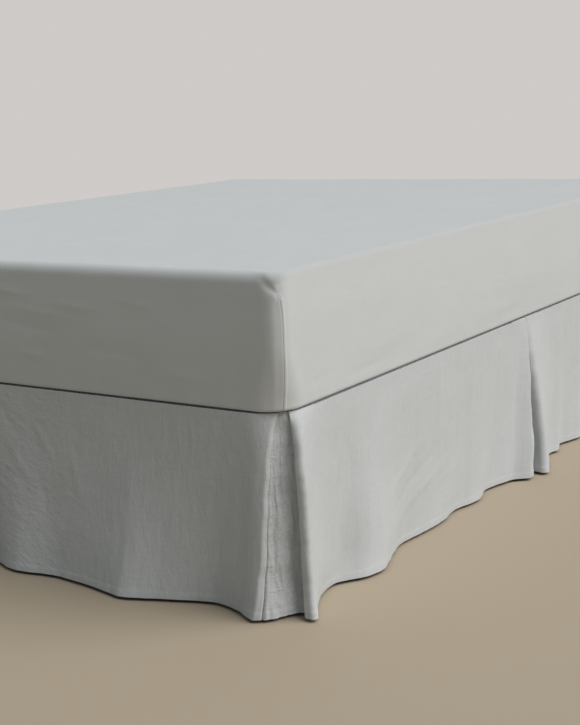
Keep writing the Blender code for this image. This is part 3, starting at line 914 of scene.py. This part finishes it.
sideFarHead = {
    "name": "frontSideFarHead", "face": farSide, "ends": ("middle", "head"), "seed": 58.6,
    "rolls": (softRoll, None),
    "slant": ((1.0, 0.1), (1.5, 0.25), (2.0, 0.1)),
    "waves": inMetres(
        (1052, 48), (1120, 20), (1190, 4), (1260, 14), (1330, 26), (1415, 10), (1500, -3), (1580, 8),
        (1660, 18), (1745, 6), (1830, 0), (1910, 6), (1990, 10),
    ),
    "crumple": ((1.0, 0.9), (1.5, 1.1), (2.0, 0.9)),
    "creases": inMetres(
        (1150, 50, 1160, 240, 10, -1.1), (1320, 80, 1310, 300, 12, 1.2), (1480, 40, 1490, 220, 11, -1),
        (1650, 60, 1640, 250, 12, 1), (1800, 30, 1810, 200, 11, -1), (1930, 70, 1925, 270, 10, 1),
    ),
}


def topEnds(panel):
    arc, middle = drop["corner"] * math.pi / 4, panel["face"]["length"] / 2 - drop["corner"]
    start, finish = panel["ends"]
    low = (-arc if start == "corner" else middle) + panel.get("startRoom", drop["foldRoom"])
    if finish == "head":
        return low, panel["face"]["length"] - 2 * drop["corner"] + arc
    return low, middle - drop["foldRoom"]


def topPoint(panel, share):
    # along and out on the deck's rim: straight, with an eighth of a turn at a corner
    low, high = topEnds(panel)
    run = low + (high - low) * share
    corner, length = drop["corner"], panel["face"]["length"]
    straight = length - 2 * corner
    if run < 0:
        return corner * (1 - math.sin(-run / corner)), -corner * (1 - math.cos(-run / corner))
    if run > straight:
        turn = (run - straight) / corner
        return length - corner * (1 - math.sin(turn)), -corner * (1 - math.cos(turn))
    return corner + run, 0.0


def openedAt(panel, end, down):
    if end == 0 and "opening" in panel:
        return tableValue(panel["opening"], down)
    return down ** drop["openings"][panel["ends"][end]]


def waveOut(panel, along, down):
    grown = down ** drop["wavePower"]
    if "swing" in panel:
        steady, full, power = panel["swing"]
        grown += (down**power - grown) * smoothStep((along - steady) / (full - steady))
    if panel["ends"][0] == "corner":
        first = panel["waves"][0][0]
        atCorner = 1 - smoothStep((along - first) / (panel["cornerReach"] - first))
        grown += (openedAt(panel, 0, down) - grown) * atCorner
    return tableValue(panel["waves"], along) * grown


def ripple(name, along, down, seed):
    rise, often, oftenDown = wrinkles[name]
    return rise * noiseAt(along * often, down * oftenDown, seed)


def wrinkle(panel, along, down):
    # listed creases and small soft wrinkles, which fade towards the deck's seam
    metres, seed = down * drop["height"], panel["seed"]
    drift = ripple("drift", along, metres, seed + 31)
    lean, fall = linenLook["foldedWay"]
    across, below = along + drift, metres - drift
    acrossFold, alongFold = along * lean + metres * fall + drift, along * fall - metres * lean - drift
    slant = tableValue(panel["slant"], along)
    fine = ripple("tall", across, below, seed + 3)
    fine -= (1 - slant) * abs(ripple("small", across, below, seed + 13))
    fine -= slant * abs(ripple("folded", acrossFold, alongFold, seed + 17))
    rise = ripple("broad", along, metres, seed) + tableValue(panel["crumple"], along) * fine
    rise += ripple("hem", along, metres, seed + 41) * fadeIn(down, (0.86, 0.14))
    return (rise + creaseRise(panel["creases"], along, metres)) * fadeIn(down, (0.0, 0.12))


def loosePlan(panel, share, down):
    # the panel's line at one level, before its ends are rolled and it is wrinkled
    topAlong, topOut = topPoint(panel, share)
    first, last = panel["waves"][0][0], panel["waves"][-1][0]
    hemAlong = first + (last - first) * share
    if panel["ends"][1] == "head":
        hemAlong += (topAlong - hemAlong) * smoothStep(share)
    start, finish = openedAt(panel, 0, down), openedAt(panel, 1, down)
    opened = start + (finish - start) * share
    stays = panel["ends"][1] == "head" and share > 0.5
    out = (topOut if stays else topOut * (1 - opened)) + waveOut(panel, hemAlong, down)
    face = panel["face"]
    along = topAlong + (hemAlong - topAlong) * opened
    return face["corner"] + face["run"] * along + face["outward"] * out, hemAlong


def waysAt(panel, below, above):
    # along the cloth, and across it away from the bed
    along = (above - below).normalized()
    outwards = Vector((along.y, -along.x))
    if panel["face"]["run"].cross(panel["face"]["outward"]) > 0:
        outwards = -outwards
    return along, outwards


rollWays = {}


def rolled(panel, end, share, down):
    # how far a point near a panel's end moves where the end is rolled in towards the bed
    roll = panel["rolls"][end]
    low, high = topEnds(panel)
    fromEdge = (high - low) * (share if end == 0 else 1 - share)
    if not roll or fromEdge > 0.12:
        return Vector((0, 0))
    bend = roll["bend"]
    length = bend + tableValue(roll["leg"], down)
    key = panel["name"], end, round(down, 6)
    if key not in rollWays:
        part = length / (high - low)
        part, step = (part, 0.002) if end == 0 else (1 - part, -0.002)
        near, far = loosePlan(panel, part, down)[0], loosePlan(panel, part + step, down)[0]
        rollWays[key] = waysAt(panel, near, far) if end == 0 else waysAt(panel, far, near)
    along, outwards = rollWays[key]
    into = along if end == 0 else -along
    metres = down * drop["height"]
    coarse, fine, share = drop["wobbles"]
    uneven = noiseAt(metres * coarse, panel["seed"] + end * 5, 2)
    uneven += share * noiseAt(metres * fine, panel["seed"], 9)
    moved = into * drop["wobble"] * uneven * math.exp(-((fromEdge / 0.035) ** 2)) * smoothStep(down / 0.15)
    angle = math.radians(tableValue(roll["turn"], down))
    if fromEdge < length and angle > 0.01:
        inBend = min(bend, length - fromEdge)
        radius, turned, past = bend / angle, angle * inBend / bend, length - fromEdge - inBend
        moved += into * (length - fromEdge - radius * math.sin(turned) - past * math.cos(angle))
        moved -= outwards * (radius * (1 - math.cos(turned)) + past * math.sin(angle))
    return moved


def panelPlan(panel, share, down, fine=True):
    point, hemAlong = loosePlan(panel, share, down)
    point += rolled(panel, 0, share, down) + rolled(panel, 1, share, down)
    return point + panel["face"]["outward"] * wrinkle(panel, hemAlong, down) if fine else point


def panelWays(panel, share, down):
    low, high = max(0.0, share - 0.003), min(1.0, share + 0.003)
    return waysAt(panel, panelPlan(panel, low, down, False), panelPlan(panel, high, down, False))


def behind(panel, share, down, depth):
    return panelPlan(panel, share, down) - panelWays(panel, share, down)[1] * depth


def layerGap(down):
    return drop["gapTop"] + (drop["gapHem"] - drop["gapTop"]) * down


def seamDepth(fromSeam, depth, down, side):
    # the return and the backing meet over the last stretch before their seam
    meeting = 1.5 * layerGap(down) + side * 0.00095
    return meeting + (depth - meeting) * smoothStep(fromSeam / drop["seamTaper"])


def returnShares(panel):
    low, high = topEnds(panel)
    columns = round(1.2 * drop["return"] / drop["pitch"])
    return [drop["return"] / (high - low) * (column / columns) ** 1.35 for column in range(columns + 1)]


def foldedEnd(panel, end, down):
    gap = layerGap(down)
    edge, inwards = (0.0, 1.0) if end == 0 else (1.0, -1.0)
    shares = returnShares(panel)
    points = []
    for share in reversed(shares):
        fromSeam = drop["return"] * (1 - share / shares[-1])
        points.append(behind(panel, edge + inwards * share, down, seamDepth(fromSeam, gap, down, -1)))
    brow = panelPlan(panel, edge, down)
    along, outwards = panelWays(panel, edge, down)
    middle, away = brow - outwards * gap / 2, along * -inwards
    for step in range(1, drop["foldSteps"]):
        angle = math.pi * (1 - step / drop["foldSteps"])
        points.append(middle + (outwards * math.cos(angle) + away * math.sin(angle)) * gap / 2)
    return points


def frontSection(panel, down):
    shares = returnShares(panel)
    atHead = panel["ends"][1] == "head"
    low, high = shares[-1], 1.0 if atHead else 1 - shares[-1]
    run = topEnds(panel)[1] - topEnds(panel)[0]
    columns = round(run * (high - low) / drop["pitch"])
    between = [low + (high - low) * column / columns for column in range(columns + 1)]
    last = [] if atHead else [1 - share for share in reversed(shares[:-1])]
    front = [panelPlan(panel, share, down) for share in shares[:-1] + between + last]
    points = foldedEnd(panel, 0, down) + front
    return points if atHead else points + foldedEnd(panel, 1, down)[::-1]


def backingWrinkle(pleat, t, down):
    metres = down * drop["height"]
    seed = pleat["seed"]
    look = backingLook
    rise = look["folds"] * noiseAt(t * 5 + metres * 6, metres * 9, seed)
    rise += look["small"] * abs(noiseAt(t * 9 - metres * 14, metres * 26 + t * 3, seed + 5))
    rise += look["tiny"] * abs(noiseAt(t * 18 + metres * 20, metres * 44, seed + 9))
    rise += creaseRise(pleat["creases"], t * 0.1, metres)
    dent = tableValue(dents[pleat["kind"]], t) * down**0.6 * fadeIn(down, look["dentFrom"])
    return rise * math.sin(math.pi * t) ** 0.7 * fadeIn(down, look["fadeIn"]) + dent


def backingSection(pleat, down):
    depth = 2 * layerGap(down)
    halves = []
    for panel, end in (pleat["left"], pleat["right"]):
        edge, inwards = (0.0, 1.0) if end == 0 else (1.0, -1.0)
        shares = returnShares(panel)
        half = []
        for share in reversed(shares):
            fromSeam = drop["return"] * (1 - share / shares[-1])
            half.append(behind(panel, edge + inwards * share, down, seamDepth(fromSeam, depth, down, 1)))
        halves.append((half, panelWays(panel, edge, down)[0] * -inwards))
    (left, leftWay), (right, rightWay) = halves
    start, finish = left[-1], right[-1]
    reach = (finish - start).length * pleat["reach"]
    first, second = start + leftWay * reach, finish + rightWay * reach
    middle, columns = [], backingColumns[pleat["kind"]]
    for column in range(1, columns):
        t = column / columns
        point = start * (1 - t) ** 3 + finish * t**3 + (first * (1 - t) + second * t) * 3 * t * (1 - t)
        slope = (first - start) * (1 - t) ** 2 + (second - first) * 2 * t * (1 - t)
        slope += (finish - second) * t * t
        outwards = Vector((slope.y, -slope.x)).normalized()
        if outwards.dot(Vector(pleat["outward"])) < 0:
            outwards = -outwards
        middle.append(point + outwards * backingWrinkle(pleat, t, down))
    return left + middle + right[::-1]


# A backing's creases are placed as a panel's are, across a tenth of a metre.
pleatCreases = inMetres(
    (62, 30, 30, 75, 5, 1.6), (70, 70, 35, 115, 5, -1.4), (30, 100, 38, 170, 4, 2),
    (42, 90, 40, 165, 4, -1.8), (35, 150, 45, 230, 5, 1.8), (55, 180, 70, 280, 6, -1.8),
    (25, 200, 30, 300, 5, -1.6), (40, 260, 55, 330, 5, 2.2), (60, 250, 45, 300, 4, 1.6),
    (70, 290, 60, 340, 5, 1.6),
)
# its own fold at the hem, by its share of the way across
dents = {
    "Corner": (
        (0, 0), (0.04, 0.003), (0.09, 0.0085), (0.15, 0.0088), (0.4, 0.003), (0.62, -0.006), (0.78, -0.0125),
        (0.9, -0.0125), (0.965, -0.0085), (1, 0),
    ),
    "Middle": ((0, 0), (0.3, 0.003), (0.6, -0.004), (1, 0)),
}
backingColumns = {"Corner": 40, "Middle": 28}
# reach is how far each fold's own way bends the backing behind it
pleatColumns = ("kind", "place", "left", "right", "outward", "seed", "reach", "creases")
pleats = [dict(zip(pleatColumns, row)) for row in (
    ("Corner", "Near", (footNear, 0), (sideNearFoot, 0), (1, -1), 71.3, 0.25, pleatCreases),
    ("Corner", "Far", (footFar, 0), (sideFarFoot, 0), (-1, -1), 82.1, 0.3, pleatCreases),
    ("Middle", "Foot", (footFar, 1), (footNear, 1), (0, -1), 93.7, 0.38, pleatCreases),
    ("Middle", "Near", (sideNearFoot, 1), (sideNearHead, 0), (1, 0), 104.9, 0.3, ()),
    ("Middle", "Far", (sideFarFoot, 1), (sideFarHead, 0), (-1, 0), 115.4, 0.38, pleatCreases),
)]


def nodeOf(name):
    return "".join("_" + letter.lower() if letter.isupper() else letter for letter in name)


def hangSheet(name, sectionAt, panel=None):
    height, hem = drop["height"], drop["hemWidth"]
    step, hemRows = drop["hemStep"], drop["hemRows"]
    rows = round((height - hem) / drop["pitch"])
    downs = [0.0, drop["firstRow"]] + [(height - hem - step) * row / rows for row in range(1, rows + 1)]
    downs += [height - hem + step + (hem - 3 * step) * row / hemRows for row in range(hemRows + 1)] + [height]
    sections = [sectionAt(down / height) for down in downs]
    columns = len(sections[0])
    halfway = sections[len(sections) // 2]
    across = [0.0]
    for before, point in zip(halfway, halfway[1:]):
        across.append(across[-1] + (point - before).length)
    bm = bmesh.new()
    bmesh.ops.create_grid(bm, x_segments=columns - 1, y_segments=len(downs) - 1, size=1.0)
    grid = bm.loops.layers.uv.new("cloth")
    doubled = bm.verts.layers.deform.verify()
    crumple, slant = bm.verts.layers.float.new("crumple"), bm.verts.layers.float.new("slant")
    topZ, hemZ = drop["top"] - drop["tuckedBelow"], drop["top"] - height
    for index, vert in enumerate(bm.verts):
        row, column = divmod(index, columns)
        vert.co = sections[row][column].to_3d() + Vector((0, 0, topZ - (topZ - hemZ) * downs[row] / height))
        vert[doubled][0] = 1.0 if downs[row] > height - hem else drop["cloth"] / drop["hemCloth"]
        vert[crumple], vert[slant] = backingLook["crumple"], backingLook["slant"]
        if panel:
            along = panel["waves"][0][0] + across[column] - drop["return"] - drop["foldTurn"]
            vert[crumple] = tableValue(panel["crumple"], along)
            vert[slant] = tableValue(panel["slant"], along)
    bm.verts.index_update()
    for face in bm.faces:
        for loop in face.loops:
            row, column = divmod(loop.vert.index, columns)
            loop[grid].uv = (across[column], height - downs[row])
    piece = addPiece(name, bm, [linenCloth], "linen", nodeOf(name))
    piece.vertex_groups.new(name="doubled")
    thicken(piece, drop["hemCloth"], 0.0)


def makeDeck():
    bm = bmesh.new()
    bmesh.ops.create_grid(bm, x_segments=60, y_segments=80, size=1.0)
    grid = bm.loops.layers.uv.new("cloth")
    crumple = bm.verts.layers.float.new("crumple")
    corner, wide, long = (size - drop["deckInset"] for size in (drop["corner"], halfWidth, halfLength))
    sagWidth, sag = drop["deckSags"]
    for vert in bm.verts:
        vert[crumple] = 0.7
        x, y = wide * crowded(vert.co.x, 0.3), long * crowded(vert.co.y, 0.3)
        inward = min(wide - abs(x), long - abs(y))
        radius = max(0.002, corner - inward)
        innerX, innerY = clamped(x, wide - inward - radius), clamped(y, long - inward - radius)
        outX, outY = x - innerX, y - innerY
        if outX and outY:
            reach = math.hypot(outX, outY)
            x, y = innerX + radius * outX / reach, innerY + radius * outY / reach
        vert.co = (x, y, drop["top"] + drop["deckUp"] - sag * (1 - smoothStep(inward / sagWidth)))
    for face in bm.faces:
        for loop in face.loops:
            loop[grid].uv = (loop.vert.co.x + 2, loop.vert.co.y + 2)
    piece = addPiece("skirtDeck", bm, [linenCloth], "linen", "skirt_deck")
    thicken(piece, drop["cloth"])
    2 * halfWidth
    2 * halfLength


makeDeck()
for panel in (footNear, footFar, sideNearFoot, sideNearHead, sideFarFoot, sideFarHead):
    hangSheet(panel["name"], lambda down: frontSection(panel, down), panel)
for pleat in pleats:
    hangSheet("backing" + pleat["kind"] + pleat["place"], lambda down: backingSection(pleat, down))
print("skirt made")
